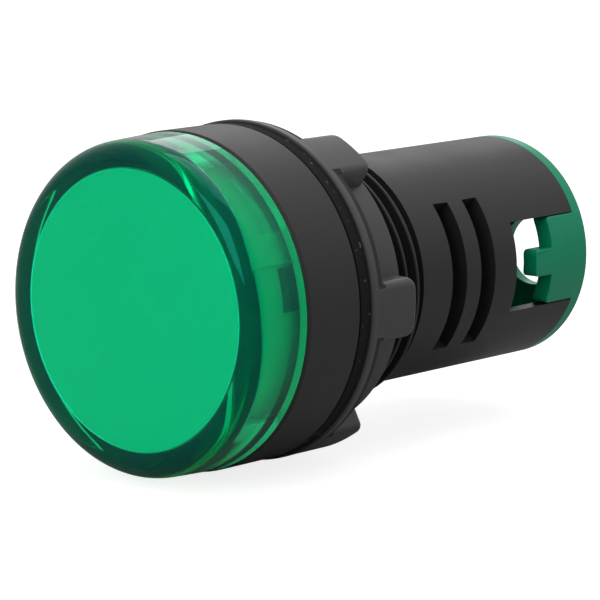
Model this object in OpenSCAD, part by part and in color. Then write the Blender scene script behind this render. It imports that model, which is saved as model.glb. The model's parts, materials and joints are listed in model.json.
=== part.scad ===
// Panel pilot light for a 22 mm hole. The axis is Y: the lens faces -Y, the terminals face +Y.
// The origin is on the axis, in the plane where the gasket meets the front of the panel.

/* [Head] */
// Outer diameter of the bezel
bezel_d = 29; // [27:0.1:33]
// Length of the bezel, from its front rim to the gasket
bezel_l = 6.6; // [5.5:0.1:9]
// Thickness of the bezel's floor, behind the light board
floor_t = 1.6; // [1.2:0.1:2]
// Radial wall of the bezel round the lens's spigot
bezel_wall = 1.6; // [1.3:0.1:2]
// Small bevel on the bezel's outer corners
bezel_bevel = 0.25; // [0.1:0.05:0.4]

/* [Lens] */
// How far the lens stands out of the bezel
lens_l = 6.4; // [5:0.1:9]
// How far the lens's rear edge lies inside the bezel's outer surface
lens_step = 0.1; // [0:0.05:0.5]
// How much smaller in radius the lens is at its front than at its rear edge
lens_draft = 0.2; // [0:0.05:0.6]
// Radius of the rounded front edge of the lens
lens_edge_r = 1.8; // [1:0.1:2.2]
// Thickness of the lens's front wall
lens_front_t = 1.1; // [0.8:0.1:1.6]
// Radial wall of the lens's spigot, inside the bezel
spigot_t = 0.85; // [0.7:0.05:1.1]
// Length of the spigot
spigot_l = 4.5; // [3.5:0.1:4.8]

/* [Diffuser] */
// Thickness of the diffuser's face
diffuser_t = 1; // [0.7:0.1:1.5]
// Radial wall of the diffuser's skirt
skirt_t = 0.9; // [0.7:0.1:1.2]
// How far the skirt is set in from the rim of the face
skirt_inset = 0.55; // [0.4:0.05:0.8]
// Number of pads, and of light slots, round the skirt
pads = 4; // [3:1:5]
// Width of one pad
pad_w = 2.6; // [1.6:0.1:3.6]
// Width of one light slot, below its pad
light_slot_w = 3.4; // [2.4:0.1:4.4]
// Length of a light slot
light_slot_l = 4.2; // [2:0.1:4.6]

/* [Light board] */
// Radial play of the light board inside the lens's spigot
led_board_play = 0.4; // [0.2:0.05:1]
// Thickness of both circuit boards
board_t = 1.2; // [0.8:0.1:1.6]
// Number of light-emitting diodes
led_count = 6; // [4:1:7]
// How far the ring of diodes lies inside the light board's edge
led_inset = 5.05; // [3:0.05:5.4]
// Diameter of a diode's dome
led_d = 3; // [2.6:0.1:3.4]
// Diameter of a diode's collar
led_collar_d = 3.8; // [3.5:0.1:4.2]
// Height of a diode above its board
led_h = 4.4; // [3.5:0.1:5]

/* [Gasket] */
// How far the gasket's edge lies inside the bezel's
gasket_inset = 0.05; // [0:0.05:1]
// Thickness of the gasket
gasket_t = 1.3; // [0.8:0.1:2]

/* [Threaded neck] */
// Major diameter of the thread
thread_d = 22; // [21.6:0.1:23.5]
// Height of the thread above the barrel
thread_h = 0.8; // [0.7:0.05:1]
// Length of the thread behind the front of the panel
thread_l = 11.8; // [10:0.1:14]
// Bevel at the end of the thread
thread_bevel = 0.7; // [0.4:0.1:0.9]

/* [Lock nut] */
// Radial wall of the nut's hub, between the lugs
hub_wall = 1.75; // [1.4:0.05:2.5]
// How far the flange and the lugs stand out beyond the bezel
nut_overhang = 0.2; // [-0.5:0.1:1.5]
// Length of the nut
nut_l = 5.9; // [4.5:0.1:8]
// Thickness of the nut's flange
flange_t = 1.6; // [1.2:0.1:2.2]
// Depth of the slope round the flange's rear edge
flange_slope = 0.25; // [0.1:0.05:0.4]
// Number of gripping lugs
lugs = 6; // [4:1:8]
// Width of one lug
lug_w = 5.1; // [4:0.1:6]
// Bevel on a lug's corners
lug_bevel = 0.7; // [0.4:0.1:1]

/* [Barrel] */
// Length of the barrel behind the front of the panel
barrel_l = 34.6; // [33.5:0.1:40]
// Wall of the barrel round the driver board
barrel_wall = 1.9; // [1.6:0.1:2.1]
// Wall of the barrel round the terminals
rear_wall = 1.3; // [1.1:0.1:1.4]
// Number of vent slots on each side
vents = 2; // [1:1:2]
// Distance from the start of the first vent slot to the wire windows
vent_setback = 9.2; // [8.6:0.1:10.4]
// Length of one vent slot along the barrel
vent_l = 2; // [1.5:0.1:2.2]
// Distance from one vent slot to the next
vent_pitch = 4.05; // [3.4:0.05:4.2]
// Half of the angle that a vent slot takes up
vent_half_angle = 39.5; // [30:0.5:45]
// Width of the wire windows
window_w = 8.1; // [7.4:0.1:8.6]
// Length of the wire windows, open at the rear end
window_l = 9.2; // [8.8:0.1:9.6]

/* [Driver board] */
// Distance from the driver board's rear end to the terminal block
driver_gap = 2.8; // [0.5:0.1:4]
// How far the top of the driver board lies below the axis
driver_drop = 2.4; // [2:0.1:2.6]
// Height of the ledges under the driver board
ledge_h = 0.9; // [0.6:0.1:1.4]
// How far each ledge reaches under the board
ledge_reach = 1.2; // [0.8:0.1:1.5]

/* [Components] */
// Share of the driver board's length that the film capacitor takes
film_length_share = 0.5; // [0.4:0.01:0.5]
// Share of the board's width that the film capacitor takes
film_width_share = 0.34; // [0.25:0.01:0.36]
// Height of the film capacitor
film_h = 7.2; // [5:0.1:7.4]
// Share of the board's length that the electrolytic capacitor takes
can_length_share = 0.39; // [0.3:0.01:0.42]
// Share of the board's width that the electrolytic capacitor takes
can_width_share = 0.41; // [0.3:0.01:0.43]
// Length of the bridge rectifier
bridge_l = 4.6; // [3.6:0.1:5]
// Share of the board's width that the bridge rectifier takes
bridge_width_share = 0.37; // [0.3:0.01:0.4]
// Height of the bridge rectifier
bridge_h = 2.6; // [2:0.1:3.5]
// Diameter of a resistor's body
resistor_d = 2; // [1.6:0.1:2.2]
// Thickness of leads and link pins
lead_d = 0.6; // [0.5:0.05:0.7]
// Where each link pin stands, as a share of the radius of the ring of diodes
link_share = 0.615; // [0.55:0.005:0.65]

/* [Terminals] */
// Thickness of the terminal block's floor
block_t = 2.2; // [1.8:0.1:2.4]
// Thickness of the wall between the terminals
divider_t = 1.2; // [0.9:0.1:1.3]
// How far the wall reaches beyond the block's floor
divider_l = 8.6; // [6:0.1:9]
// Thickness of the terminal plates
plate_t = 0.7; // [0.5:0.05:0.8]
// Breadth of the terminal plates
plate_b = 6.6; // [5.6:0.1:7.2]
// Play between a plate's corners and the barrel
plate_play = 0.6; // [0.3:0.1:1]
// Where the screw stands across its plate, as a share of the plate's width
screw_share = 0.58; // [0.5:0.01:0.6]
// Width of a plate's leg
leg_w = 2; // [1.4:0.1:2]
// Side of the square clamp washers, as a share of the plate's width
clamp_share = 0.8; // [0.7:0.01:0.84]
// Thickness of the clamp washers
clamp_t = 0.7; // [0.5:0.05:0.8]
// Diameter of the terminal screws
screw_d = 3; // [2.5:0.1:3]
// Length of a screw under its head
screw_l = 4.4; // [3.6:0.1:4.6]
// Diameter of a screw's head
head_d = 5.3; // [4.8:0.1:5.4]
// Height of a screw's head
head_h = 1.8; // [1.5:0.1:2]

/* [Rear cover] */
// Thickness of the cover's disc
cover_t = 1.2; // [0.9:0.1:1.6]
// Diameter of the screwdriver holes
access_d = 6.3; // [5.8:0.1:6.4]
// Length of a tongue's wide part, over its wire window
arm_l = 4; // [3:0.1:5]
// Length of a tongue's narrow stem
stem_l = 2.4; // [1.6:0.1:2.6]
// Width of the stem
stem_w = 2.4; // [1.8:0.1:3]
// Rounding of the tongues' corners
tongue_round = 0.5; // [0.2:0.1:0.8]
// Radial thickness of the tongues
tongue_t = 1.5; // [1.1:0.1:1.7]
// Length of the two skirts inside the barrel
cover_skirt_l = 2.6; // [1.5:0.1:3.5]
// Radial thickness of the skirts
cover_skirt_t = 1; // [0.7:0.1:1.2]

/* [Fits] */
// Radial play of a part that pushes into another
push_fit = 0.1; // [0.05:0.01:0.15]
// Radial play between the thread and the nut
thread_play = 0.05; // [0.03:0.01:0.1]
// Gap between parts that lie close without touching
gap = 0.1; // [0.05:0.01:0.15]

/* [Hidden] */
$fn = 96;
eps = 0.01;

// Angles from +X towards +Z
pad_turn = 27;
light_slot_turn = 11;
lug_phase = -2;
skirt_angle = 60;

// Small sizes
parts_margin = 3;
film_edge = 1.2;
can_edge = 0.6;
bridge_edge = 1.4;
resistor_edge = 2.2;
resistor_stand = 0.4;
lead_reach = 0.6;
pin_front_reach = 0.5;
pin_back_reach = 2.4;
leg_lap = 1.6;
block_recess = 0.2;
clear_bore_r = 1.8;

// Places along the axis, from front to rear
bezel_back = -gasket_t;
bezel_front = bezel_back - bezel_l;
floor_front = bezel_back - floor_t;
lens_front = bezel_front - lens_l;
lens_shoulder = bezel_front - gap;
spigot_end = lens_shoulder + spigot_l;
lens_inside = lens_front + lens_front_t;
diffuser_front = lens_inside + gap;
diffuser_back = diffuser_front + diffuser_t;
led_board_front = floor_front - board_t;
skirt_end = led_board_front - 3 * gap;
window_start = barrel_l - window_l;
vent_start = window_start - vent_setback;
block_back = window_start - plate_t + block_recess;
block_front = block_back - block_t;
driver_front = floor_front + board_t;
driver_end = block_front - driver_gap;
driver_l = driver_end - driver_front;
leg_front = driver_end - leg_lap;
plate_back = block_back + plate_t;
clamp_back = plate_back + clamp_t;
cover_front = barrel_l + gap / 2;

// Radii
bezel_r = bezel_d / 2;
socket_r = bezel_r - bezel_wall;
spigot_r = socket_r - push_fit;
lens_bore_r = spigot_r - spigot_t;
lens_back_r = bezel_r - lens_step;
lens_front_r = lens_back_r - lens_draft;
diffuser_r = lens_bore_r - gap;
skirt_r = diffuser_r - skirt_inset;
led_board_r = lens_bore_r - led_board_play;
led_ring_r = led_board_r - led_inset;
link_x = link_share * led_ring_r;
gasket_r = bezel_r - gasket_inset;
thread_r = thread_d / 2;
barrel_r = thread_r - thread_h;
bore_r = barrel_r - barrel_wall;
rear_bore_r = barrel_r - rear_wall;
hub_r = thread_r + thread_play + hub_wall;
nut_r = bezel_r + nut_overhang;
screw_r = screw_d / 2;
access_r = access_d / 2;

// Heights
driver_top = -driver_drop;
driver_bottom = driver_top - board_t;
driver_half = sqrt(pow(bore_r - gap, 2) - pow(driver_bottom, 2));
parts_front = driver_front + parts_margin;
board_w = 2 * driver_half;
film_l = film_length_share * driver_l;
film_w = film_width_share * board_w;
can_l = can_length_share * driver_l;
can_r = can_width_share * driver_half;
bridge_w = bridge_width_share * board_w;

// The resistors lie between the film capacitor and the plates' legs
resistor_front = parts_front + film_l + gap;
resistor_l = leg_front - gap - resistor_front - 2 * lead_reach - lead_d;
resistor_y = (resistor_front + leg_front - gap) / 2;

// Across the terminals
plate_inner = divider_t / 2 + 3 * gap;
plate_w = sqrt(pow(rear_bore_r - plate_play, 2) - pow(plate_b / 2, 2)) - plate_inner;
terminal_x = plate_inner + screw_share * plate_w;
clamp_side = clamp_share * plate_w;
cover_skirt_r = rear_bore_r - push_fit - cover_skirt_t;

// Turns a profile, drawn as radius and place along the axis, into a solid round Y
module turned() {
    rotate([-90, 0, 0])
        rotate_extrude()
            children();
}

// A flat ring's half section, from radius r1 to r2 and from place y1 to y2
module band(r1, r2, y1, y2) {
    translate([r1, y1])
        square([r2 - r1, y2 - y1]);
}

// A rod along Y
module rod(r, y1, y2) {
    translate([0, y1, 0])
        rotate([-90, 0, 0])
            cylinder(r = r, h = y2 - y1);
}

// A piece of a ring round Y, centred on the angle a, measured from +X towards +Z
module ring_piece(r1, r2, y1, y2, a, half) {
    rotate([-90, 0, 0])
        rotate([0, 0, -a - half])
            rotate_extrude(angle = 2 * half)
                band(r1, r2, y1, y2);
}

// A box between two corners
module block(low, high) {
    translate(low)
        cube(high - low);
}

module lens() {
    color("seagreen", 0.8)
        turned()
            difference() {
                union() {
                    polygon([[0, lens_front + lens_edge_r],
                        [lens_front_r, lens_front + lens_edge_r],
                        [lens_back_r, lens_shoulder], [0, lens_shoulder]]);
                    translate([lens_front_r - lens_edge_r, lens_front + lens_edge_r])
                        intersection() {
                            circle(r = lens_edge_r);
                            translate([0, -lens_edge_r])
                                square(lens_edge_r);
                        }
                    band(0, lens_front_r - lens_edge_r + eps, lens_front,
                        lens_front + lens_edge_r + eps);
                    band(0, spigot_r, lens_front + lens_edge_r, spigot_end);
                }
                band(-eps, lens_bore_r, lens_inside, spigot_end + eps);
            }
}

module diffuser() {
    step = 360 / pads;
    color("mediumseagreen")
        difference() {
            union() {
                turned() {
                    band(0, diffuser_r, diffuser_front, diffuser_back);
                    band(skirt_r - skirt_t, skirt_r, diffuser_back - eps, skirt_end);
                }
                for (i = [0 : pads - 1])
                    rotate([0, -i * step - pad_turn, 0])
                        block([skirt_r - skirt_t / 2, diffuser_back - eps, -pad_w / 2],
                            [diffuser_r - gap, skirt_end - gap, pad_w / 2]);
            }
            for (i = [0 : pads - 1])
                rotate([0, -i * step - light_slot_turn, 0])
                    block([skirt_r - 2 * skirt_t, skirt_end - light_slot_l, -light_slot_w / 2],
                        [diffuser_r + 1, skirt_end + 1, light_slot_w / 2]);
        }
}

module housing_section() {
    difference() {
        union() {
            polygon([[0, bezel_front], [bezel_r - bezel_bevel, bezel_front],
                [bezel_r, bezel_front + bezel_bevel], [bezel_r, bezel_back - bezel_bevel],
                [bezel_r - bezel_bevel, bezel_back], [0, bezel_back]]);
            polygon([[0, bezel_back - eps], [thread_r, bezel_back - eps],
                [thread_r, thread_l - thread_bevel / 2], [thread_r - thread_bevel, thread_l], [0, thread_l]]);
            band(0, barrel_r, thread_l - 1, barrel_l);
        }
        band(-eps, socket_r, bezel_front - eps, floor_front);
        band(-eps, bore_r, floor_front - eps, block_front);
        band(-eps, rear_bore_r, block_front - eps, barrel_l + eps);
    }
}

module ledge(side) {
    inner = driver_half - ledge_reach;
    intersection() {
        rod(bore_r + eps, bezel_back, block_front);
        if (side > 0)
            block([inner, bezel_back, driver_bottom - ledge_h], [bore_r, block_front, driver_bottom]);
        else
            block([-bore_r, bezel_back, driver_bottom - ledge_h], [-inner, block_front, driver_bottom]);
    }
}

module housing() {
    color("dimgray") {
        difference() {
            turned()
                housing_section();
            for (a = [0, 180], i = [0 : vents - 1])
                ring_piece(bore_r - 1, barrel_r + 1, vent_start + i * vent_pitch,
                    vent_start + i * vent_pitch + vent_l, a, vent_half_angle);
            block([-barrel_r - 1, window_start, -window_w / 2], [barrel_r + 1, barrel_l + 1, window_w / 2]);
        }
        ledge(1);
        ledge(-1);
    }
}

module gasket() {
    color("black")
        turned()
            band(thread_r + push_fit, gasket_r, bezel_back, -gap / 2);
}

// The lugs seen along the axis, with bevelled outer edges. They run past the nut's surface.
module lug_outlines() {
    half = lug_w / 2;
    flat = half - lug_bevel;
    corner = sqrt(pow(nut_r, 2) - pow(flat, 2));
    for (i = [0 : lugs - 1])
        rotate(-lug_phase - i * 360 / lugs)
            polygon([[hub_r - 1, -half], [corner - lug_bevel, -half], [corner, -flat], [nut_r + 1, -flat],
                [nut_r + 1, flat], [corner, flat], [corner - lug_bevel, half], [hub_r - 1, half]]);
}

// What is cut away between the lugs, down to the hub
module lug_gaps() {
    translate([0, flange_t, 0])
        rotate([-90, 0, 0])
            linear_extrude(nut_l)
                difference() {
                    circle(r = nut_r + 2);
                    circle(r = hub_r);
                    lug_outlines();
                }
}

// What is cut off the flange's rear edge, between the lugs
module flange_slopes() {
    slope_start = 0.4 * flange_t;
    difference() {
        turned()
            polygon([[nut_r, slope_start], [nut_r + 2, slope_start], [nut_r + 2, flange_t + eps],
                [nut_r - flange_slope, flange_t + eps]]);
        rotate([-90, 0, 0])
            linear_extrude(nut_l)
                lug_outlines();
    }
}

// What is cut off the rear corners of the lugs
module lug_corners() {
    outer = lug_w / 2 + eps;
    for (i = [0 : lugs - 1], s = [-1, 1])
        rotate([0, -lug_phase - i * 360 / lugs, 0])
            translate([hub_r - 0.4, 0, 0])
                rotate([0, 90, 0])
                    linear_extrude(nut_r)
                        polygon([[s * (outer - lug_bevel - 1), nut_l + 1], [s * outer, nut_l - lug_bevel],
                            [s * outer, nut_l + 1]]);
}

module lock_nut() {
    color("dimgray")
        difference() {
            rod(nut_r, 0, nut_l);
            lug_gaps();
            flange_slopes();
            lug_corners();
            rod(thread_r + thread_play, -1, nut_l + 1);
        }
}

module led_board() {
    color("white")
        difference() {
            rod(led_board_r, led_board_front, floor_front);
            for (s = [-1, 1])
                translate([s * link_x, 0, driver_top + lead_d / 2])
                    rod(lead_d / 2 + gap, led_board_front - 1, floor_front + 1);
        }
}

module led() {
    r = led_d / 2;
    rod(led_collar_d / 2, led_board_front - led_h / 4, led_board_front);
    rod(r, led_board_front - led_h + r, led_board_front);
    translate([0, led_board_front - led_h + r, 0])
        sphere(r = r);
}

module leds() {
    color("palegreen")
        for (i = [0 : led_count - 1])
            rotate([0, i * 360 / led_count, 0])
                translate([led_ring_r, 0, 0])
                    led();
}

module driver_board() {
    color("darkgreen")
        block([-driver_half, driver_front, driver_bottom], [driver_half, driver_end, driver_top]);
}

module film_capacitor() {
    x = film_edge - driver_half;
    color("goldenrod")
        block([x, parts_front, driver_top],
            [x + film_w, parts_front + film_l, driver_top + film_h]);
}

module electrolytic_capacitor() {
    groove = 0.3;
    color("midnightblue")
        translate([driver_half - can_r - can_edge, 0, driver_top + can_r])
            difference() {
                rod(can_r, parts_front, parts_front + can_l);
                turned()
                    translate([can_r, parts_front + can_l - 3 * groove])
                        circle(r = groove);
            }
}

module bridge_rectifier() {
    x = driver_half - bridge_edge - bridge_w;
    y = parts_front + can_l + 1;
    color("black")
        block([x, y, driver_top], [x + bridge_w, y + bridge_l, driver_top + bridge_h]);
}

// A resistor lying along Y, with its leads bent down to the board
module resistor(x, y) {
    stand = resistor_d / 2 + resistor_stand;
    lead_y = resistor_l / 2 + lead_reach;
    translate([x, y, driver_top + stand]) {
        rod(resistor_d / 2, -resistor_l / 2, resistor_l / 2);
        rod(lead_d / 2, -lead_y, lead_y);
        for (s = [-1, 1])
            translate([0, s * lead_y, -stand])
                cylinder(r = lead_d / 2, h = stand + lead_d / 2);
    }
}

module surge_resistor() {
    color("lightblue")
        resistor(resistor_edge - driver_half, resistor_y);
}

module bleed_resistor() {
    color("tan")
        resistor(resistor_edge - driver_half + resistor_d + resistor_stand, resistor_y);
}

// A pin that joins the two boards and carries the current to the diodes
module link_pin(side) {
    color("silver")
        translate([side * link_x, 0, driver_top + lead_d / 2])
            rod(lead_d / 2, led_board_front - pin_front_reach, driver_front + pin_back_reach);
}

module terminal_block() {
    color("dimgray")
        difference() {
            union() {
                rod(rear_bore_r - push_fit, block_front, block_back);
                intersection() {
                    rod(cover_skirt_r - gap, block_front, block_back + divider_l);
                    block([-divider_t / 2, block_front, -rear_bore_r],
                        [divider_t / 2, block_back + divider_l, rear_bore_r]);
                }
            }
            for (s = [-1, 1])
                translate([s * terminal_x, 0, 0])
                    rod(clear_bore_r, block_front - 1, block_back + eps);
            for (x = [-plate_inner - plate_t - gap, plate_inner - gap])
                block([x, block_front - 1, driver_top - gap],
                    [x + plate_t + 2 * gap, block_back + 1, driver_top + leg_w + gap]);
        }
}

module terminal_plate() {
    color("goldenrod")
        difference() {
            union() {
                block([plate_inner, block_back, -plate_b / 2],
                    [plate_inner + plate_w, plate_back, plate_b / 2]);
                block([plate_inner, leg_front, driver_top],
                    [plate_inner + plate_t, plate_back, driver_top + leg_w]);
            }
            translate([terminal_x, 0, 0])
                rod(screw_r + thread_play, block_back - 1, plate_back + 1);
        }
}

module clamp_washer() {
    color("gainsboro")
        translate([terminal_x, 0, 0])
            difference() {
                block([-clamp_side / 2, plate_back, -clamp_side / 2],
                    [clamp_side / 2, clamp_back, clamp_side / 2]);
                rod(screw_r + push_fit, plate_back - 1, clamp_back + 1);
            }
}

module terminal_screw() {
    edge = 0.5;
    slot_w = 0.8;
    slot_h = 1;
    head_r = head_d / 2;
    top = clamp_back + head_h;
    color("silver")
        translate([terminal_x, 0, 0])
            difference() {
                turned()
                    union() {
                        band(0, screw_r, clamp_back - screw_l, clamp_back + eps);
                        band(0, head_r, clamp_back, top - edge);
                        band(0, head_r - edge, clamp_back, top);
                        translate([head_r - edge, top - edge])
                            circle(r = edge);
                    }
                block([-slot_w / 2, top - slot_h, -head_r * 0.7], [slot_w / 2, top + 1, head_r * 0.7]);
                block([-head_r * 0.7, top - slot_h, -slot_w / 2], [head_r * 0.7, top + 1, slot_w / 2]);
            }
}

// A square-ended tab with its two front corners rounded, from y1 back to y2
module tab(half, y1, y2) {
    for (s = [-1, 1])
        translate([s * (half - tongue_round), y1 + tongue_round])
            circle(r = tongue_round);
    translate([tongue_round - half, y1])
        square([2 * (half - tongue_round), y2 - y1]);
    translate([-half, y1 + tongue_round])
        square([2 * half, y2 - y1 - tongue_round]);
}

// One T-shaped tongue, on the +X side
module tongue() {
    arm_front = cover_front - arm_l;
    intersection() {
        turned()
            band(barrel_r - tongue_t, barrel_r, arm_front - stem_l, cover_front + eps);
        rotate([0, 90, 0])
            linear_extrude(barrel_r + 1) {
                tab(window_w / 2 - gap, arm_front, cover_front + 1);
                tab(stem_w / 2, arm_front - stem_l, cover_front);
            }
    }
}

module rear_cover() {
    color("seagreen")
        difference() {
            union() {
                rod(barrel_r, cover_front, cover_front + cover_t);
                tongue();
                mirror([1, 0, 0])
                    tongue();
                for (a = [90, 270])
                    ring_piece(cover_skirt_r, rear_bore_r - push_fit,
                        cover_front - cover_skirt_l, cover_front + eps, a, skirt_angle / 2);
            }
            for (s = [-1, 1])
                translate([s * terminal_x, 0, 0])
                    rod(access_r, cover_front - 1, cover_front + cover_t + 1);
        }
}

lens();
diffuser();
housing();
gasket();
lock_nut();
led_board();
leds();
driver_board();
film_capacitor();
electrolytic_capacitor();
bridge_rectifier();
surge_resistor();
bleed_resistor();
link_pin(-1);  // link_pin_left
link_pin(1);  // link_pin_right
terminal_block();
mirror([1, 0, 0]) terminal_plate();  // terminal_plate_left
terminal_plate();  // terminal_plate_right
mirror([1, 0, 0]) clamp_washer();  // clamp_washer_left
clamp_washer();  // clamp_washer_right
mirror([1, 0, 0]) terminal_screw();  // terminal_screw_left
terminal_screw();  // terminal_screw_right
rear_cover();
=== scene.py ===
import json
from math import cos, pi, radians, sin

import bpy
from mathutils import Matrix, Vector

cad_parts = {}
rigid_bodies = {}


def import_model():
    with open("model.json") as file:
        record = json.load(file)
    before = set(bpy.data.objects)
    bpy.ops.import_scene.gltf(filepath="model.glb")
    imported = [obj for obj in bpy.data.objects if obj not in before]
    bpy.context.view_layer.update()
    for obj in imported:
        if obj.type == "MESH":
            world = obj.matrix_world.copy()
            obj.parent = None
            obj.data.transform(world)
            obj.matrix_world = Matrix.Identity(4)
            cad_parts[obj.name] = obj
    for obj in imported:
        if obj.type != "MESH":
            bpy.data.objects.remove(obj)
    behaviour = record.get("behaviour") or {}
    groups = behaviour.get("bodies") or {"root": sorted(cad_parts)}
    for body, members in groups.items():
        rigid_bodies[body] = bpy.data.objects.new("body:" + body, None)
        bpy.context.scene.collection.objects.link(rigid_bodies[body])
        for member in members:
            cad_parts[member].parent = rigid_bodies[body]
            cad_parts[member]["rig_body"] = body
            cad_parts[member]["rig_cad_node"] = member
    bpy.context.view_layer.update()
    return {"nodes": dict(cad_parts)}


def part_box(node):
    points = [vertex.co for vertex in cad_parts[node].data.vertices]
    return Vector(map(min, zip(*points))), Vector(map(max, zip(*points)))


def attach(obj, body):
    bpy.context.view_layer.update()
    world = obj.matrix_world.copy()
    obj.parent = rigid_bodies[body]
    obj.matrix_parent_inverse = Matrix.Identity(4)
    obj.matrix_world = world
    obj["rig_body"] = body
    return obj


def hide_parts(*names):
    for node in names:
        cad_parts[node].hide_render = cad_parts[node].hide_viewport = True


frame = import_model()
nodes = frame["nodes"]
mm = 0.001
print("frame loaded:", len(nodes), "nodes")

# The lens faces -Y and the terminals face +Y. Lengths in the dictionaries below are in mm.


# Small helpers for working by hand in edit mode

def deselectAll():
    if bpy.context.object and bpy.context.object.mode != "OBJECT":
        bpy.ops.object.mode_set(mode="OBJECT")
    bpy.ops.object.select_all(action="DESELECT")


def pick(piece):
    deselectAll()
    piece.select_set(True)
    bpy.context.view_layer.objects.active = piece


def settle(piece):
    pick(piece)
    bpy.ops.object.transform_apply(location=True, rotation=True, scale=True)


def applyModifier(piece, kind, **values):
    pick(piece)
    modifier = piece.modifiers.new(kind.lower(), kind)
    for key, value in values.items():
        setattr(modifier, key, value)
    bpy.ops.object.modifier_apply(modifier=modifier.name)


def smooth(piece, angle=35):
    pick(piece)
    bpy.ops.object.shade_smooth_by_angle(angle=radians(angle))
    applyModifier(piece, "WEIGHTED_NORMAL", mode="FACE_AREA", weight=50, keep_sharp=True)


# Turns a closed section round the axis: a circle is extruded from ring to ring and each ring is scaled
def turnPiece(name, rings, segments=160):
    deselectAll()
    firstRadius, firstPlace = rings[0]
    bpy.ops.mesh.primitive_circle_add(vertices=segments, radius=firstRadius * mm, fill_type="NOTHING",
                                      location=(0, firstPlace * mm, 0), rotation=(pi / 2, 0, 0))
    piece = bpy.context.object
    piece.name = name
    settle(piece)
    bpy.ops.object.mode_set(mode="EDIT")
    bpy.ops.mesh.select_all(action="SELECT")
    for (radius, place), (nextRadius, nextPlace) in zip(rings, rings[1:]):
        bpy.ops.mesh.extrude_region_move(TRANSFORM_OT_translate={"value": (0, (nextPlace - place) * mm, 0)})
        grow = nextRadius / radius
        bpy.ops.transform.resize(value=(grow, 1, grow), center_override=(0, nextPlace * mm, 0))
    bpy.ops.mesh.select_all(action="SELECT")
    bpy.ops.mesh.remove_doubles(threshold=0.002 * mm)
    bpy.ops.mesh.select_all(action="DESELECT")
    bpy.ops.mesh.select_non_manifold(extend=False)
    bpy.ops.mesh.fill_holes(sides=0)
    bpy.ops.mesh.select_all(action="SELECT")
    bpy.ops.mesh.normals_make_consistent(inside=False)
    bpy.ops.object.mode_set(mode="OBJECT")
    return piece


# Rings along a quarter round in the section, from one angle to another in degrees
def roundRings(radius, place, size, start, end, steps=8):
    rings = []
    for step in range(steps + 1):
        angle = radians(start + (end - start) * step / steps)
        rings.append((radius + size * cos(angle), place + size * sin(angle)))
    return rings


# A merged copy of a frame node with its flat faces joined up, ready for bevels
def cleanCopy(name, node):
    pick(nodes[node])
    bpy.ops.object.duplicate()
    piece = bpy.context.object
    piece.name = name
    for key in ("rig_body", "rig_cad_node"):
        if key in piece:
            del piece[key]
    piece.parent = None
    piece.data.materials.clear()
    bpy.ops.object.mode_set(mode="EDIT")
    bpy.ops.mesh.select_all(action="SELECT")
    bpy.ops.mesh.remove_doubles(threshold=0.0005 * mm)
    bpy.ops.mesh.normals_make_consistent(inside=False)
    bpy.ops.mesh.dissolve_limited(angle_limit=radians(0.4))
    bpy.ops.mesh.customdata_custom_splitnormals_clear()
    bpy.ops.object.mode_set(mode="OBJECT")
    return piece


def bevelEdges(piece, width, segments=2, angle=32):
    applyModifier(piece, "BEVEL", width=width * mm, segments=segments, limit_method="ANGLE",
                  angle_limit=radians(angle), use_clamp_overlap=False, profile=0.6)


def finishPiece(piece, body, slot, material, *replaced):
    piece.data.materials.clear()
    piece.data.materials.append(material)
    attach(piece, body)
    if replaced:
        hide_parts(*replaced)


def dressNode(node, material):
    data = nodes[node].data
    if not data.materials:
        data.materials.append(material)
    for index in range(len(data.materials)):
        data.materials[index] = material


# Shader helpers

def addNode(tree, kind, **values):
    node = tree.nodes.new(kind)
    for key, value in values.items():
        setattr(node, key, value)
    return node


def newGroup(name, inputs, outputs):
    tree = bpy.data.node_groups.new(name, "ShaderNodeTree")
    for label, kind, value in inputs:
        socket = tree.interface.new_socket(name=label, in_out="INPUT", socket_type=kind)
        socket.default_value = value
    for label, kind in outputs:
        tree.interface.new_socket(name=label, in_out="OUTPUT", socket_type=kind)
    return tree, addNode(tree, "NodeGroupInput"), addNode(tree, "NodeGroupOutput")


def mathNode(tree, operation, first, second=0.5, clamp=False):
    node = addNode(tree, "ShaderNodeMath", operation=operation, use_clamp=clamp)
    for socket, value in zip(node.inputs, (first, second)):
        if isinstance(value, (int, float)):
            socket.default_value = value
        else:
            tree.links.new(value, socket)
    return node.outputs[0]


def mixColour(tree, factor, first, second, blend="MIX"):
    node = addNode(tree, "ShaderNodeMix", data_type="RGBA", blend_type=blend)
    for socket, value in zip((node.inputs[0], node.inputs[6], node.inputs[7]), (factor, first, second)):
        if isinstance(value, (int, float, tuple)):
            socket.default_value = value
        else:
            tree.links.new(value, socket)
    return node.outputs[2]


def noise(tree, coordinates, scale, detail=2, roughness=0.5):
    node = addNode(tree, "ShaderNodeTexNoise")
    node.inputs["Detail"].default_value = detail
    node.inputs["Roughness"].default_value = roughness
    if isinstance(scale, (int, float)):
        node.inputs["Scale"].default_value = scale
    else:
        tree.links.new(scale, node.inputs["Scale"])
    tree.links.new(coordinates, node.inputs["Vector"])
    return node.outputs["Fac"]


def rangeNode(tree, value, fromLow, fromHigh, toLow=0.0, toHigh=1.0):
    node = addNode(tree, "ShaderNodeMapRange")
    tree.links.new(value, node.inputs["Value"])
    labels = ("From Min", "From Max", "To Min", "To Max")
    for label, number in zip(labels, (fromLow, fromHigh, toLow, toHigh)):
        node.inputs[label].default_value = number
    return node.outputs[0]


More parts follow.
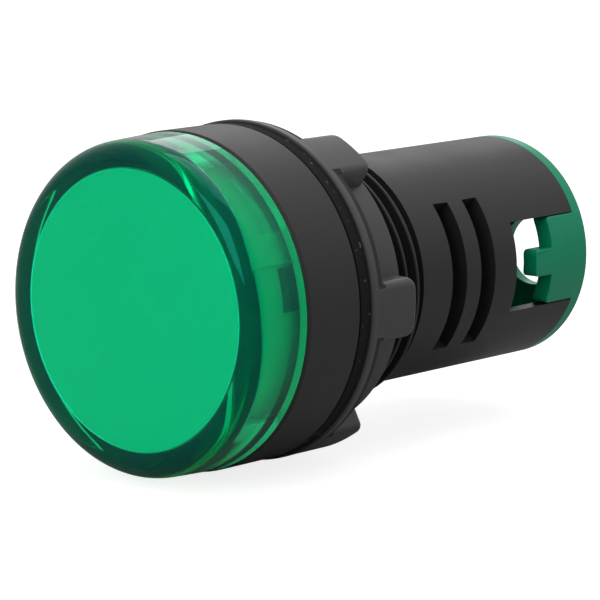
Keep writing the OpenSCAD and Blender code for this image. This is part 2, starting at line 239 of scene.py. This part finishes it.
# Painted shade in a deep place: a zone along the axis, inside a radius, where the colour is darkened
def paintedShadeZone(tree, place, entry):
    axes = addNode(tree, "ShaderNodeSeparateXYZ")
    tree.links.new(place, axes.inputs[0])
    across = addNode(tree, "ShaderNodeCombineXYZ")
    tree.links.new(axes.outputs["X"], across.inputs["X"])
    tree.links.new(axes.outputs["Z"], across.inputs["Z"])
    radius = addNode(tree, "ShaderNodeVectorMath", operation="LENGTH")
    tree.links.new(across.outputs[0], radius.inputs[0])
    behind = mathNode(tree, "GREATER_THAN", axes.outputs["Y"], entry.outputs["Shade from"])
    before = mathNode(tree, "LESS_THAN", axes.outputs["Y"], entry.outputs["Shade to"])
    inside = mathNode(tree, "LESS_THAN", radius.outputs["Value"], entry.outputs["Shade inside"])
    paintedShade = mathNode(tree, "MULTIPLY", mathNode(tree, "MULTIPLY", behind, before), inside)
    return mathNode(tree, "MULTIPLY", paintedShade, entry.outputs["Shade"])


# Noise that swings either way about nothing, by a given share
def swing(tree, value, share):
    return mathNode(tree, "MULTIPLY", mathNode(tree, "SUBTRACT", value, 0.5), share)


# Moulded plastic: spark-eroded grain, faint mottling, a little dust, and painted shade that darkens the
# colour in a zone set by the Shade inputs
def makeMouldedGroup():
    tree, entry, result = newGroup("mouldedGrainAndShade", [
        ("Colour", "NodeSocketColor", (0.05, 0.05, 0.05, 1)),
        ("Dust colour", "NodeSocketColor", (0.3, 0.3, 0.3, 1)),
        ("Dust", "NodeSocketFloat", 0.05),
        ("Mottle", "NodeSocketFloat", 0.1),
        ("Grain", "NodeSocketFloat", 5000.0),
        ("Roughness", "NodeSocketFloat", 0.4),
        ("Shade from", "NodeSocketFloat", 0.0),
        ("Shade to", "NodeSocketFloat", 0.0),
        ("Shade inside", "NodeSocketFloat", 0.0),
        ("Shade", "NodeSocketFloat", 0.0),
    ], [("Colour", "NodeSocketColor"), ("Roughness", "NodeSocketFloat"), ("Height", "NodeSocketFloat")])
    place = addNode(tree, "ShaderNodeTexCoord").outputs["Object"]
    fine = noise(tree, place, entry.outputs["Grain"], 3, 0.6)
    broad = noise(tree, place, mathNode(tree, "MULTIPLY", entry.outputs["Grain"], 0.03), 3, 0.55)
    speckScale = mathNode(tree, "MULTIPLY", entry.outputs["Grain"], 0.45)
    specks = rangeNode(tree, noise(tree, place, speckScale, 1), 0.68, 0.74)
    sway = swing(tree, broad, entry.outputs["Mottle"])
    paintedShade = paintedShadeZone(tree, place, entry)
    bright = mathNode(tree, "ADD", mathNode(tree, "MULTIPLY", sway, 2.0), 1.0)
    # Painted shade: the colour is darkened by the Shade share inside the zone
    bright = mathNode(tree, "MULTIPLY", bright, mathNode(tree, "SUBTRACT", 1.0, paintedShade))
    scaled = addNode(tree, "ShaderNodeVectorMath", operation="SCALE")
    tree.links.new(entry.outputs["Colour"], scaled.inputs[0])
    tree.links.new(bright, scaled.inputs["Scale"])
    dusty = mathNode(tree, "MULTIPLY", specks, entry.outputs["Dust"])
    colour = mixColour(tree, dusty, scaled.outputs[0], entry.outputs["Dust colour"])
    tree.links.new(colour, result.inputs["Colour"])
    rough = mathNode(tree, "ADD", entry.outputs["Roughness"], swing(tree, broad, 0.16))
    rough = mathNode(tree, "ADD", rough, mathNode(tree, "MULTIPLY", dusty, 0.3))
    rough = mathNode(tree, "ADD", rough, mathNode(tree, "MULTIPLY", paintedShade, 0.6), clamp=True)
    tree.links.new(rough, result.inputs["Roughness"])
    height = mathNode(tree, "ADD", fine, mathNode(tree, "MULTIPLY", dusty, 0.5))
    tree.links.new(height, result.inputs["Height"])
    return tree


# Drawn or stamped metal: fine streaks and a slightly uneven tarnish
def makeMetalGroup():
    tree, entry, result = newGroup("stampedMetal", [
        ("Colour", "NodeSocketColor", (0.7, 0.7, 0.7, 1)),
        ("Tarnish colour", "NodeSocketColor", (0.4, 0.35, 0.3, 1)),
        ("Tarnish", "NodeSocketFloat", 0.3),
        ("Roughness", "NodeSocketFloat", 0.3),
    ], [("Colour", "NodeSocketColor"), ("Roughness", "NodeSocketFloat"), ("Height", "NodeSocketFloat")])
    place = addNode(tree, "ShaderNodeTexCoord").outputs["Object"]
    stretch = addNode(tree, "ShaderNodeMapping")
    stretch.inputs["Scale"].default_value = (1, 0.08, 1)
    tree.links.new(place, stretch.inputs["Vector"])
    streaks = noise(tree, stretch.outputs[0], 9000, 3, 0.6)
    stain = rangeNode(tree, noise(tree, place, 420, 4, 0.6), 0.42, 0.7)
    tarnish = mathNode(tree, "MULTIPLY", stain, entry.outputs["Tarnish"])
    colour = mixColour(tree, tarnish, entry.outputs["Colour"], entry.outputs["Tarnish colour"])
    tree.links.new(colour, result.inputs["Colour"])
    rough = mathNode(tree, "ADD", entry.outputs["Roughness"], mathNode(tree, "MULTIPLY", tarnish, 0.35))
    rough = mathNode(tree, "ADD", rough, swing(tree, streaks, 0.15), clamp=True)
    tree.links.new(rough, result.inputs["Roughness"])
    tree.links.new(streaks, result.inputs["Height"])
    return tree


# Printed circuit: copper tracks that show faintly through the lacquer, and a glass weave
def makeBoardGroup():
    tree, entry, result = newGroup("printedBoard", [
        ("Lacquer", "NodeSocketColor", (0.02, 0.2, 0.08, 1)),
        ("Track colour", "NodeSocketColor", (0.05, 0.35, 0.14, 1)),
        ("Track", "NodeSocketFloat", 0.8),
    ], [("Colour", "NodeSocketColor"), ("Roughness", "NodeSocketFloat"), ("Height", "NodeSocketFloat")])
    place = addNode(tree, "ShaderNodeTexCoord").outputs["Object"]
    cells = addNode(tree, "ShaderNodeTexVoronoi", feature="DISTANCE_TO_EDGE", distance="CHEBYCHEV")
    cells.inputs["Scale"].default_value = 330
    tree.links.new(place, cells.inputs["Vector"])
    tracks = rangeNode(tree, cells.outputs["Distance"], 0.1, 0.14)
    weave = noise(tree, place, 5200, 1)
    shade = mathNode(tree, "MULTIPLY", tracks, entry.outputs["Track"])
    colour = mixColour(tree, shade, entry.outputs["Lacquer"], entry.outputs["Track colour"])
    rough = mathNode(tree, "ADD", 0.28, mathNode(tree, "MULTIPLY", weave, 0.12))
    height = mathNode(tree, "ADD", tracks, mathNode(tree, "MULTIPLY", weave, 0.3))
    tree.links.new(colour, result.inputs["Colour"])
    tree.links.new(rough, result.inputs["Roughness"])
    tree.links.new(height, result.inputs["Height"])
    return tree


# Clear moulding: hairlines from handling and a slow waviness of the polished face
def makeClearGroup():
    tree, entry, result = newGroup("clearMoulding", [
        ("Roughness", "NodeSocketFloat", 0.02),
        ("Hairlines", "NodeSocketFloat", 0.06),
    ], [("Roughness", "NodeSocketFloat"), ("Height", "NodeSocketFloat")])
    place = addNode(tree, "ShaderNodeTexCoord").outputs["Object"]
    stretch = addNode(tree, "ShaderNodeMapping")
    stretch.inputs["Rotation"].default_value = (0, radians(37), 0)
    stretch.inputs["Scale"].default_value = (1, 1, 0.02)
    tree.links.new(place, stretch.inputs["Vector"])
    lines = rangeNode(tree, noise(tree, stretch.outputs[0], 5200, 2), 0.7, 0.76)
    slow = noise(tree, place, 160, 1)
    scuffed = mathNode(tree, "MULTIPLY", lines, entry.outputs["Hairlines"])
    rough = mathNode(tree, "ADD", entry.outputs["Roughness"], scuffed, clamp=True)
    tree.links.new(rough, result.inputs["Roughness"])
    tree.links.new(slow, result.inputs["Height"])
    return tree


mouldedGrainAndShade = makeMouldedGroup()
stampedMetal = makeMetalGroup()
printedBoard = makeBoardGroup()
clearMoulding = makeClearGroup()


def startMaterial(name):
    material = bpy.data.materials.new(name)
    material.use_nodes = True
    tree = material.node_tree
    return material, tree, tree.nodes["Principled BSDF"]


def placeGroup(tree, group, values):
    node = addNode(tree, "ShaderNodeGroup", node_tree=group)
    for label, value in values.items():
        node.inputs[label].default_value = value
    return node


def linkBump(tree, height, shader, depth):
    bump = addNode(tree, "ShaderNodeBump")
    bump.inputs["Distance"].default_value = depth * mm
    tree.links.new(height, bump.inputs["Height"])
    tree.links.new(bump.outputs[0], shader.inputs["Normal"])


def groupMaterial(name, group, values, depth, **plain):
    material, tree, shader = startMaterial(name)
    surface = placeGroup(tree, group, values)
    tree.links.new(surface.outputs["Colour"], shader.inputs["Base Color"])
    tree.links.new(surface.outputs["Roughness"], shader.inputs["Roughness"])
    linkBump(tree, surface.outputs["Height"], shader, depth)
    for label, value in plain.items():
        shader.inputs[label.replace("_", " ")].default_value = value
    return material


def tone(red, green, blue):
    return (red, green, blue, 1)


# Painted shade: the shade zone darkens the thread grooves, 5.5 to 11.9 mm along the axis and inside 10.9 mm,
# to near black
blackMoulding = groupMaterial("blackMoulding", mouldedGrainAndShade, {
    "Colour": tone(0.016, 0.0148, 0.0165), "Dust colour": tone(0.2, 0.2, 0.2), "Dust": 0.03,
    "Mottle": 0.12, "Grain": 6000.0, "Roughness": 0.45, "Shade from": 0.0055, "Shade to": 0.0119,
    "Shade inside": 0.0109, "Shade": 0.9}, 0.012, Specular_IOR_Level=0.36)
# Painted shade: the shade zone darkens the nut's sloped flange rim, 0.68 to 1.8 mm along the axis
nutMoulding = groupMaterial("nutMoulding", mouldedGrainAndShade, {
    "Colour": tone(0.036, 0.036, 0.038), "Dust colour": tone(0.25, 0.25, 0.25), "Dust": 0.05,
    "Mottle": 0.15, "Grain": 6000.0, "Roughness": 0.4, "Shade from": 0.00068, "Shade to": 0.0018,
    "Shade inside": 0.01467, "Shade": 0.7}, 0.01)
gasketRubber = groupMaterial("gasketRubber", mouldedGrainAndShade, {
    "Colour": tone(0.004, 0.004, 0.004), "Dust colour": tone(0.4, 0.4, 0.4), "Dust": 0.2,
    "Mottle": 0.3, "Grain": 5000.0, "Roughness": 0.85}, 0.03, Specular_IOR_Level=0.25)
greenMoulding = groupMaterial("greenMoulding", mouldedGrainAndShade, {
    "Colour": tone(0.001, 0.27, 0.125), "Dust colour": tone(0.1, 0.4, 0.3), "Dust": 0.05,
    "Mottle": 0.08, "Grain": 6000.0, "Roughness": 0.35}, 0.008, Specular_Tint=tone(0.25, 1, 0.85),
    Transmission_Weight=0.15)
milkyGreen = groupMaterial("milkyGreen", mouldedGrainAndShade, {
    "Colour": tone(0.05, 0.95, 0.8), "Dust colour": tone(0.2, 0.95, 0.85), "Dust": 0.03,
    "Mottle": 0.03, "Grain": 3000.0, "Roughness": 0.4}, 0.004)
whiteBoard = groupMaterial("whiteBoard", printedBoard, {
    "Lacquer": tone(0.75, 0.78, 0.75), "Track colour": tone(0.82, 0.84, 0.82), "Track": 0.8}, 0.02)
greenBoard = groupMaterial("greenBoard", printedBoard, {
    "Lacquer": tone(0.012, 0.13, 0.05), "Track colour": tone(0.03, 0.24, 0.1), "Track": 0.8}, 0.02)
filmCase = groupMaterial("filmCase", mouldedGrainAndShade, {
    "Colour": tone(0.7, 0.42, 0.05), "Dust": 0.05, "Mottle": 0.1, "Grain": 3000.0,
    "Roughness": 0.3}, 0.01)
canSleeve = groupMaterial("canSleeve", mouldedGrainAndShade, {
    "Colour": tone(0.02, 0.035, 0.13), "Dust": 0.04, "Mottle": 0.1, "Grain": 2500.0,
    "Roughness": 0.25}, 0.006)
blackResin = groupMaterial("blackResin", mouldedGrainAndShade, {
    "Colour": tone(0.018, 0.018, 0.018), "Dust": 0.05, "Mottle": 0.2, "Grain": 7000.0,
    "Roughness": 0.5}, 0.02)
blueEnamel = groupMaterial("blueEnamel", mouldedGrainAndShade, {
    "Colour": tone(0.12, 0.36, 0.5), "Dust": 0.04, "Mottle": 0.12, "Grain": 4000.0,
    "Roughness": 0.3}, 0.01)
tanEnamel = groupMaterial("tanEnamel", mouldedGrainAndShade, {
    "Colour": tone(0.5, 0.34, 0.18), "Dust": 0.04, "Mottle": 0.12, "Grain": 4000.0,
    "Roughness": 0.32}, 0.01)
diodeResin = groupMaterial("diodeResin", mouldedGrainAndShade, {
    "Colour": tone(0.45, 0.85, 0.55), "Dust": 0.02, "Mottle": 0.05, "Grain": 3000.0,
    "Roughness": 0.12}, 0.002)
tinnedCopper = groupMaterial("tinnedCopper", stampedMetal, {
    "Colour": tone(0.72, 0.72, 0.7), "Tarnish colour": tone(0.4, 0.38, 0.36), "Tarnish": 0.4,
    "Roughness": 0.35}, 0.004, Metallic=1.0)
brassPlate = groupMaterial("brassPlate", stampedMetal, {
    "Colour": tone(0.78, 0.57, 0.25), "Tarnish colour": tone(0.35, 0.2, 0.08), "Tarnish": 0.5,
    "Roughness": 0.3}, 0.004, Metallic=1.0)
platedSteel = groupMaterial("platedSteel", stampedMetal, {
    "Colour": tone(0.68, 0.68, 0.68), "Tarnish colour": tone(0.5, 0.45, 0.32), "Tarnish": 0.35,
    "Roughness": 0.25}, 0.004, Metallic=1.0)


def makeLensMaterial():
    material, tree, shader = startMaterial("clearGreen")
    surface = placeGroup(tree, clearMoulding, {"Roughness": 0.02, "Hairlines": 0.05})
    tree.links.new(surface.outputs["Roughness"], shader.inputs["Roughness"])
    linkBump(tree, surface.outputs["Height"], shader, 0.01)
    shader.inputs["Base Color"].default_value = tone(0.02, 0.93, 0.7)
    shader.inputs["Specular Tint"].default_value = tone(0.03, 0.75, 0.6)
    shader.inputs["IOR"].default_value = 1.52
    shader.inputs["Transmission Weight"].default_value = 0.95
    dye = addNode(tree, "ShaderNodeVolumeAbsorption")
    dye.inputs["Color"].default_value = tone(0.0, 0.88, 0.76)
    dye.inputs["Density"].default_value = 1000
    tree.links.new(dye.outputs[0], tree.nodes["Material Output"].inputs["Volume"])
    return material


clearGreen = makeLensMaterial()
print("materials made")


# Lens: a thick clear cap with a rounded front edge and a spigot that pushes into the bezel
lensShape = {"edgeRound": 1.8, "frontWall": 1.1, "spigotWall": 0.85, "sideRadius": 14.2,
             "spigotRadius": 12.8, "shoulder": -8.0}


def makeLens():
    shape = lensShape
    low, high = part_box("lens")
    front, back, rim = low.y / mm, high.y / mm, high.x / mm
    shoulder, spigot = shape["shoulder"], shape["spigotRadius"]
    bore = spigot - shape["spigotWall"]
    inside = front + shape["frontWall"]
    cornerRadius = shape["sideRadius"] - shape["edgeRound"]
    cornerPlace = front + shape["edgeRound"]
    rings = [(0.5, front), (cornerRadius - 0.3, front)]
    rings += roundRings(cornerRadius, cornerPlace, shape["edgeRound"], -90, 0, 12)
    rings += [(rim, shoulder - 0.12), (rim - 0.04, shoulder - 0.03), (rim - 0.12, shoulder)]
    rings += [(spigot + 0.01, shoulder), (spigot, shoulder + 0.1), (spigot, back - 0.2), (spigot - 0.2, back)]
    rings += [(bore + 0.1, back), (bore, back - 0.1), (bore, inside + 0.25), (bore - 0.07, inside + 0.07),
              (bore - 0.25, inside), (bore - 0.6, inside), (0.5, inside)]
    lens = turnPiece("lens_cap_piece", rings, 192)
    smooth(lens, 40)
    finishPiece(lens, "lens_cap", "clear_green", clearGreen, "lens")


makeLens()
print("lens made")


# Housing: bezel, threaded neck and barrel. The thread is cut into a copy of the plain solid.
threadShape = {"pitch": 1.5, "crest": 0.22, "root": 0.16, "radius": 11.0, "depth": 0.78, "start": -0.75,
               "turns": 9, "over": 0.4}


def makeThreadCutter():
    shape = threadShape
    deselectAll()
    bpy.ops.mesh.primitive_plane_add(size=1, location=(0, 0, 0))
    cutter = bpy.context.object
    # The plane's corners become the groove's section: narrow at its root, wide past the crests
    rootHalf, mouthHalf = shape["root"] / 2, (shape["pitch"] - shape["crest"]) / 2
    mouthHalf += (mouthHalf - rootHalf) / shape["depth"] * shape["over"]
    deep, outside = shape["radius"] - shape["depth"], shape["radius"] + shape["over"]
    corners = [(deep, -rootHalf), (deep, rootHalf), (outside, mouthHalf), (outside, -mouthHalf)]
    ordered = sorted(cutter.data.vertices, key=lambda v: (v.co.x > 0, v.co.y * (1 if v.co.x < 0 else -1)))
    for vertex, (radius, place) in zip(ordered, corners):
        vertex.co = Vector((radius, place + shape["start"], 0)) * mm
    bpy.ops.object.mode_set(mode="EDIT")
    bpy.ops.mesh.select_all(action="SELECT")
    bpy.ops.mesh.delete(type="ONLY_FACE")
    bpy.ops.object.mode_set(mode="OBJECT")
    applyModifier(cutter, "SCREW", axis="Y", angle=2 * pi, screw_offset=shape["pitch"] * mm,
                  iterations=shape["turns"], steps=90, render_steps=90, use_merge_vertices=False)
    bpy.ops.object.mode_set(mode="EDIT")
    bpy.ops.mesh.select_all(action="DESELECT")
    bpy.ops.mesh.select_non_manifold(extend=False)
    bpy.ops.mesh.fill_holes(sides=0)
    bpy.ops.mesh.select_all(action="SELECT")
    bpy.ops.mesh.normals_make_consistent(inside=False)
    bpy.ops.object.mode_set(mode="OBJECT")
    return cutter


def makeHousing():
    housing = cleanCopy("threaded_housing", "housing")
    bevelEdges(housing, 0.06)
    cutter = makeThreadCutter()
    applyModifier(housing, "BOOLEAN", operation="DIFFERENCE", solver="EXACT", object=cutter)
    bpy.data.objects.remove(cutter)
    smooth(housing, 30)
    finishPiece(housing, "frame", "black_moulding", blackMoulding, "housing")
    return housing


makeHousing()
print("housing made")


# Gasket, rear cover and diffuser: softened edges on the same shapes
def softenNode(name, node, body, slot, material, width, segments=2):
    piece = cleanCopy(name, node)
    bevelEdges(piece, width, segments)
    smooth(piece)
    finishPiece(piece, body, slot, material, node)
    return piece


softenNode("soft_gasket", "gasket", "frame", "black_rubber", gasketRubber, 0.15, 3)
softenNode("tongued_cover", "rear_cover", "cover", "green_moulding", greenMoulding, 0.08, 3)
softenNode("light_spreader", "diffuser", "lens_cap", "milky_green", milkyGreen, 0.08, 2)
print("gasket, cover and diffuser made")


# Lock nut: a turned flange and hub, and one lug that is shaped once and copied round
nutShape = {"bore": 11.05, "radius": 14.7, "hub": 12.8, "flange": 1.6, "slopeStart": 0.64, "slope": 0.25,
            "length": 5.9, "lugs": 6, "firstLug": -2.0, "lugHalf": 2.55, "lugCorner": 0.95, "lugRound": 0.55,
            "lugStart": 0.4, "inset": 0.012, "softEdge": 0.12}


def selectEdges(piece, test):
    bpy.ops.object.mode_set(mode="EDIT")
    bpy.ops.mesh.select_mode(type="EDGE")
    bpy.ops.mesh.select_all(action="DESELECT")
    bpy.ops.object.mode_set(mode="OBJECT")
    for edge in piece.data.edges:
        first, second = (piece.data.vertices[i].co / mm for i in edge.vertices)
        edge.select = test(first, second)
    bpy.ops.object.mode_set(mode="EDIT")


def makeLug():
    shape = nutShape
    inner, outer, half = shape["hub"] - 0.8, shape["radius"] - shape["inset"], shape["lugHalf"]
    start, end = shape["lugStart"], shape["length"] - shape["inset"]
    deselectAll()
    bpy.ops.mesh.primitive_cube_add(size=1, location=((inner + outer) / 2 * mm, (start + end) / 2 * mm, 0),
                                    scale=((outer - inner) * mm, (end - start) * mm, 2 * half * mm))
    lug = bpy.context.object
    lug.name = "lug"
    settle(lug)

    # The two rear corners first, then the whole outer rim
    near = 0.01
    selectEdges(lug, lambda a, b: min(a.y, b.y) > end - near and abs(a.x - b.x) > 1)
    bpy.ops.mesh.bevel(offset=shape["lugCorner"] * mm, segments=6, profile=0.5)
    selectEdges(lug, lambda a, b: min(a.x, b.x) > outer - near and max(a.y, b.y) > start + near)
    bpy.ops.mesh.bevel(offset=shape["lugRound"] * mm, segments=4, profile=0.5)
    for step in range(-5, 6):
        bpy.ops.mesh.select_all(action="SELECT")
        bpy.ops.mesh.bisect(plane_co=(0, 0, step * 0.36 * mm), plane_no=(0, 0, 1))
    bpy.ops.object.mode_set(mode="OBJECT")
    for vertex in lug.data.vertices:
        if vertex.co.x > (inner + 1) * mm:  # the outer face follows the round of the flange
            vertex.co.x -= outer * mm - ((outer * mm) ** 2 - vertex.co.z ** 2) ** 0.5
    return lug


def makeNut():
    shape = nutShape
    bore, radius, hub, flange, length = (shape[k] for k in ("bore", "radius", "hub", "flange", "length"))
    soft, slope, entryBevel = shape["softEdge"], shape["slope"], 0.35
    rings = [(bore + soft, 0), (radius - soft, 0), (radius, soft), (radius, shape["slopeStart"])]
    rings += [(radius - slope * 0.6, flange - soft * 1.4), (radius - slope - soft, flange), (hub, flange)]
    rings += [(hub, length - soft), (hub - soft, length), (bore + entryBevel, length)]
    rings += [(bore, length - entryBevel), (bore, soft), (bore + soft, 0)]
    nut = turnPiece("lugged_nut", rings, 192)
    lug = makeLug()
    for index in range(shape["lugs"]):
        pick(lug)
        bpy.ops.object.duplicate()
        copy = bpy.context.object
        copy.rotation_euler.y = radians(-shape["firstLug"] - index * 360 / shape["lugs"])
        settle(copy)
        applyModifier(nut, "BOOLEAN", operation="UNION", solver="EXACT", object=copy)
        bpy.data.objects.remove(copy)
    bpy.data.objects.remove(lug)
    smooth(nut, 34)
    finishPiece(nut, "nut", "black_moulding", nutMoulding, "lock_nut")


makeNut()
print("nut made")

dressNode("led_board", whiteBoard)
dressNode("leds", diodeResin)
dressNode("driver_board", greenBoard)
dressNode("film_capacitor", filmCase)
dressNode("electrolytic_capacitor", canSleeve)
dressNode("bridge_rectifier", blackResin)
dressNode("surge_resistor", blueEnamel)
dressNode("bleed_resistor", tanEnamel)
for side in ("left", "right"):
    dressNode("link_pin_" + side, tinnedCopper)
    dressNode("terminal_plate_" + side, brassPlate)
    dressNode("clamp_washer_" + side, platedSteel)
    dressNode("terminal_screw_" + side, platedSteel)
dressNode("terminal_block", blackMoulding)
print("inner pieces dressed")


# Floor, world, lamps and camera
studio = {"floor": -14.75, "floorTone": 0.4, "floorGlow": 0.82, "frontSky": 0.5, "rearSky": 0.85,
          "horizon": 0.55}


def makeFloor():
    deselectAll()
    bpy.ops.mesh.primitive_plane_add(size=6, location=(0, 0, studio["floor"] * mm))
    floor = bpy.context.object
    floor.name = "floor"
    material, tree, shader = startMaterial("paleFloor")
    shader.inputs["Base Color"].default_value = tone(*[studio["floorTone"]] * 3)
    shader.inputs["Roughness"].default_value = 0.9
    shader.inputs["Specular IOR Level"].default_value = 0.1
    glow = addNode(tree, "ShaderNodeEmission")
    path = addNode(tree, "ShaderNodeLightPath")
    seen = mathNode(tree, "MAXIMUM", path.outputs["Is Camera Ray"], path.outputs["Is Transmission Ray"])
    tree.links.new(mathNode(tree, "MULTIPLY", seen, studio["floorGlow"]), glow.inputs["Strength"])
    both = addNode(tree, "ShaderNodeAddShader")
    tree.links.new(shader.outputs[0], both.inputs[0])
    tree.links.new(glow.outputs[0], both.inputs[1])
    tree.links.new(both.outputs[0], tree.nodes["Material Output"].inputs["Surface"])
    floor.data.materials.append(material)


def makeWorld():
    world = bpy.data.worlds.new("studioWorld")
    bpy.context.scene.world = world
    world.use_nodes = True
    tree = world.node_tree
    background = tree.nodes["Background"]
    path = addNode(tree, "ShaderNodeLightPath")
    place = addNode(tree, "ShaderNodeTexCoord").outputs["Generated"]
    axes = addNode(tree, "ShaderNodeSeparateXYZ")
    tree.links.new(place, axes.inputs[0])
    # White above and behind the light, dimmer in front of it and near the horizon
    depth = rangeNode(tree, axes.outputs["Y"], -0.3, 0.5, studio["frontSky"], studio["rearSky"])
    height = rangeNode(tree, axes.outputs["Z"], -0.05, 0.5, studio["horizon"], 1.0)
    seen = mathNode(tree, "MAXIMUM", path.outputs["Is Camera Ray"], path.outputs["Is Transmission Ray"])
    final = mathNode(tree, "MAXIMUM", seen, mathNode(tree, "MULTIPLY", depth, height))
    tree.links.new(final, background.inputs["Strength"])
    background.inputs["Color"].default_value = (1, 1, 1, 1)


lamps = {
    "topSoftbox": {"place": (0.05, 0.15, 0.7), "size": (0.6, 0.6), "power": 2.0},
    "frontFill": {"place": (0.12, -0.75, 0.35), "size": (0.5, 0.5), "power": 2.4},
    "rearSoftbox": {"place": (-0.45, 0.63, 0.4), "size": (0.3, 0.3), "power": 0.3},
}


def makeLamps():
    for name, lamp in lamps.items():
        deselectAll()
        bpy.ops.object.light_add(type="AREA", location=lamp["place"])
        light = bpy.context.object
        light.name = name
        light.data.shape = "RECTANGLE"
        light.data.size, light.data.size_y = lamp["size"]
        light.data.energy = lamp["power"]
        aim = Vector((0, 0.008, 0)) - light.location
        light.rotation_euler = aim.to_track_quat("-Z", "Y").to_euler()


view = {"azimuth": 41.09, "elevation": 9.52, "distance": 296.8, "target": (0, 7.55, -1.76), "focal": 203.5}


def makeCamera():
    azimuth, elevation = radians(view["azimuth"]), radians(view["elevation"])
    back = Vector((sin(azimuth) * cos(elevation), -cos(azimuth) * cos(elevation), sin(elevation)))
    target = Vector(view["target"]) * mm
    data = bpy.data.cameras.new("camera")
    camera = bpy.data.objects.new("camera", data)
    bpy.context.scene.collection.objects.link(camera)
    camera.location = target + back * view["distance"] * mm
    camera.rotation_euler = back.to_track_quat("Z", "Y").to_euler()
    data.sensor_width = 36
    data.lens = view["focal"]
    data.clip_start = 0.01
    bpy.context.scene.camera = camera


makeFloor()
makeWorld()
makeLamps()
makeCamera()
bpy.context.scene.view_settings.view_transform = "Standard"
print("studio made")
